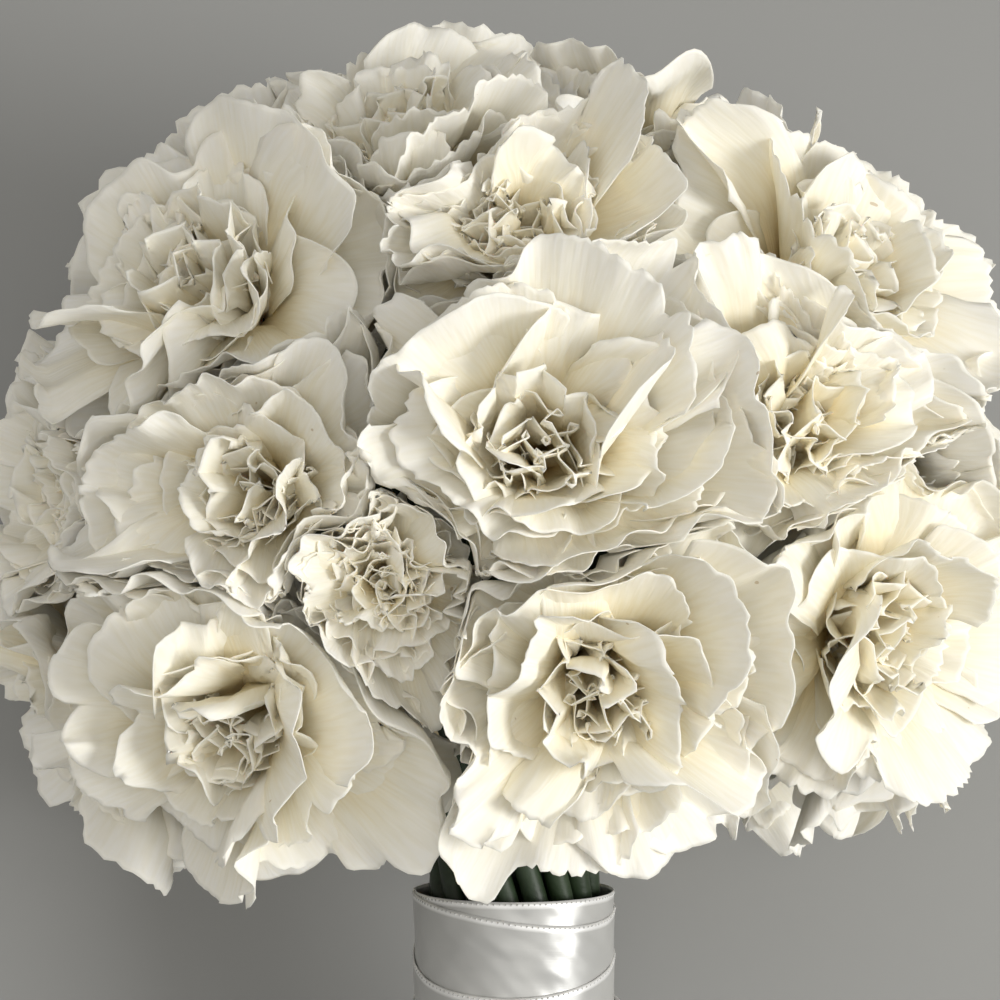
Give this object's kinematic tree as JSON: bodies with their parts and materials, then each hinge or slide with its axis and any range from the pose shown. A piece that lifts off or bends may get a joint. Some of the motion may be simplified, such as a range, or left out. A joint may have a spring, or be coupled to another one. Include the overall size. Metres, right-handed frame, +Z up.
{
  "type": "bunch of carnations",
  "caption": "Round hand-tied bunch of white carnations lying on its side, stems spiralled into a bound handle wrapped in satin ribbon.",
  "frame": {"origin": "middle of the bounding box's underside, on the surface that the bunch lies on", "axes": "+Y along the bunch from the stem ends to the crown of the head, +X across it to the right of the side that is looked at, +Z up"},
  "size_m": [0.2306, 0.3174, 0.2014],
  "materials": {
    "petals": "matt, cream in the folds and white at the margins",
    "stems": "satin, dark green with a pale bloom",
    "ribbon": "satin weave, soft sheen",
    "tape": "matt crepe"
  },
  "bodies": {
    "root": {"bloom_01": "petals", "bloom_02": "petals", "bloom_03": "petals", "bloom_04": "petals", "bloom_05": "petals", "bloom_06": "petals", "bloom_07": "petals", "bloom_08": "petals", "bloom_09": "petals", "bloom_10": "petals", "bloom_11": "petals", "bloom_12": "petals", "bloom_13": "petals", "bloom_14": "petals", "bloom_15": "petals", "bloom_16": "petals", "bloom_17": "petals", "bloom_18": "petals", "bloom_19": "petals", "bloom_20": "petals", "bloom_21": "petals", "bloom_22": "petals", "bloom_23": "petals", "bloom_24": "petals", "bloom_25": "petals", "bloom_26": "petals", "bloom_27": "petals", "bloom_28": "petals", "stem_01": "stems", "stem_02": "stems", "stem_03": "stems", "stem_04": "stems", "stem_05": "stems", "stem_06": "stems", "stem_07": "stems", "stem_08": "stems", "stem_09": "stems", "stem_10": "stems", "stem_11": "stems", "stem_12": "stems", "stem_13": "stems", "stem_14": "stems", "stem_15": "stems", "stem_16": "stems", "stem_17": "stems", "stem_18": "stems", "stem_19": "stems", "stem_20": "stems", "stem_21": "stems", "stem_22": "stems", "stem_23": "stems", "stem_24": "stems", "stem_25": "stems", "stem_26": "stems", "stem_27": "stems", "stem_28": "stems", "satin_ribbon": "ribbon", "binding_tape": "tape"}
  },
  "joints": []
}
